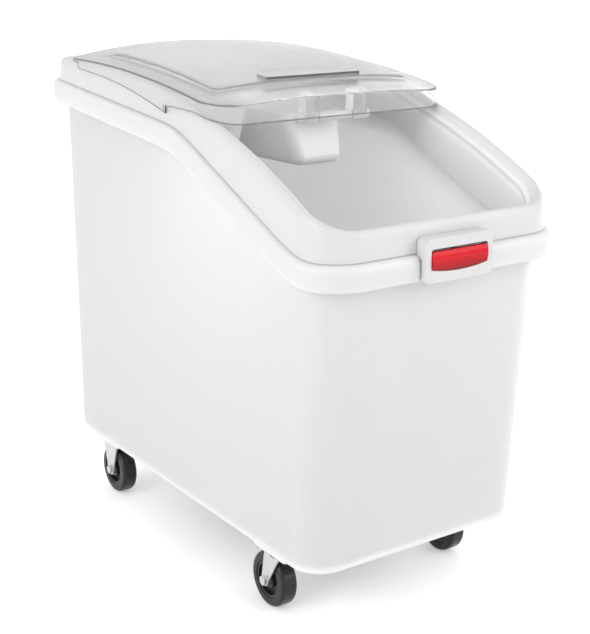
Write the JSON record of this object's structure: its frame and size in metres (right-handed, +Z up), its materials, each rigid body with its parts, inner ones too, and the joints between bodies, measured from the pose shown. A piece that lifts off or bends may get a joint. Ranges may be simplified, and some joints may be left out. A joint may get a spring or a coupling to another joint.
{
  "type": "rolling ingredient bin",
  "caption": "Slant-front rolling flour bin with a rolled rim, latched lid frame, clear lid sliding on curved rails, clipped scoop, swivel front casters and rigid rear casters.",
  "frame": {"origin": "on the floor, under the middle of the bounding box", "axes": "+Z up; +X to the right as seen from the front; -Y towards the latch, so the bin's length runs along Y"},
  "size_m": [0.394, 0.759, 0.711],
  "materials": {
    "tub_white": "satin moulded polyethylene",
    "frame_white": "satin moulded plastic",
    "scoop_white": "satin moulded plastic",
    "clear_lid": "clear glossy polycarbonate",
    "latch_red": "glossy",
    "zinc_steel": "bright zinc plate",
    "tyre_rubber": "matt",
    "core_plastic": "satin"
  },
  "bodies": {
    "bin": {"tub": "tub_white", "lid_frame": "frame_white", "latch_bezel": "frame_white", "latch_pin": "zinc_steel", "latch_spring": "zinc_steel", "front_left_plate": "zinc_steel", "front_left_ball_race": "zinc_steel", "front_left_kingpin": "zinc_steel", "front_left_screws": "zinc_steel", "front_right_plate": "zinc_steel", "front_right_ball_race": "zinc_steel", "front_right_kingpin": "zinc_steel", "front_right_screws": "zinc_steel", "rear_left_bracket": "zinc_steel", "rear_left_axle_bolt": "zinc_steel", "rear_left_nut": "zinc_steel", "rear_left_screws": "zinc_steel", "rear_right_bracket": "zinc_steel", "rear_right_axle_bolt": "zinc_steel", "rear_right_nut": "zinc_steel", "rear_right_screws": "zinc_steel"},
    "latch": {"latch_lever": "latch_red"},
    "lid": {"sliding_lid": "clear_lid", "scoop_clip_left": "clear_lid", "scoop_clip_right": "clear_lid"},
    "scoop": {"scoop": "scoop_white"},
    "front_left_fork": {"front_left_yoke": "zinc_steel", "front_left_axle_bolt": "zinc_steel", "front_left_nut": "zinc_steel"},
    "front_right_fork": {"front_right_yoke": "zinc_steel", "front_right_axle_bolt": "zinc_steel", "front_right_nut": "zinc_steel"},
    "front_left_wheel": {"front_left_tyre": "tyre_rubber", "front_left_wheel_core": "core_plastic", "front_left_bush": "zinc_steel"},
    "front_right_wheel": {"front_right_tyre": "tyre_rubber", "front_right_wheel_core": "core_plastic", "front_right_bush": "zinc_steel"},
    "rear_left_wheel": {"rear_left_tyre": "tyre_rubber", "rear_left_wheel_core": "core_plastic", "rear_left_bush": "zinc_steel"},
    "rear_right_wheel": {"rear_right_tyre": "tyre_rubber", "rear_right_wheel_core": "core_plastic", "rear_right_bush": "zinc_steel"}
  },
  "joints": [
    {"name": "lid_slide", "type": "hinge", "parent": "bin", "child": "lid", "pos_m": [0, 0.2, -0.4204], "axis": [1, 0, 0], "range_deg": [0, 12.3]},
    {"name": "scoop_pull", "type": "slide", "parent": "lid", "child": "scoop", "axis": [0, 0, -1], "range_m": [0, 0.12]},
    {"name": "latch_press", "type": "hinge", "parent": "bin", "child": "latch", "pos_m": [0, -0.368, 0.493], "axis": [-1, 0, 0], "range_deg": [0, 10], "stiffness_Nm_per_rad": 1, "springref_deg": -8.59, "deforming": ["latch_spring"]},
    {"name": "front_left_swivel", "type": "hinge", "parent": "bin", "child": "front_left_fork", "pos_m": [-0.145, -0.213, 0.082], "axis": [0, 0, 1], "continuous": true},
    {"name": "front_left_roll", "type": "hinge", "parent": "front_left_fork", "child": "front_left_wheel", "pos_m": [-0.145, -0.193, 0.038], "axis": [1, 0, 0], "continuous": true},
    {"name": "rear_left_roll", "type": "hinge", "parent": "bin", "child": "rear_left_wheel", "pos_m": [-0.145, 0.258, 0.038], "axis": [1, 0, 0], "continuous": true},
    {"name": "front_right_swivel", "type": "hinge", "parent": "bin", "child": "front_right_fork", "pos_m": [0.145, -0.213, 0.082], "axis": [0, 0, 1], "continuous": true},
    {"name": "front_right_roll", "type": "hinge", "parent": "front_right_fork", "child": "front_right_wheel", "pos_m": [0.145, -0.193, 0.038], "axis": [1, 0, 0], "continuous": true},
    {"name": "rear_right_roll", "type": "hinge", "parent": "bin", "child": "rear_right_wheel", "pos_m": [0.145, 0.258, 0.038], "axis": [1, 0, 0], "continuous": true}
  ]
}
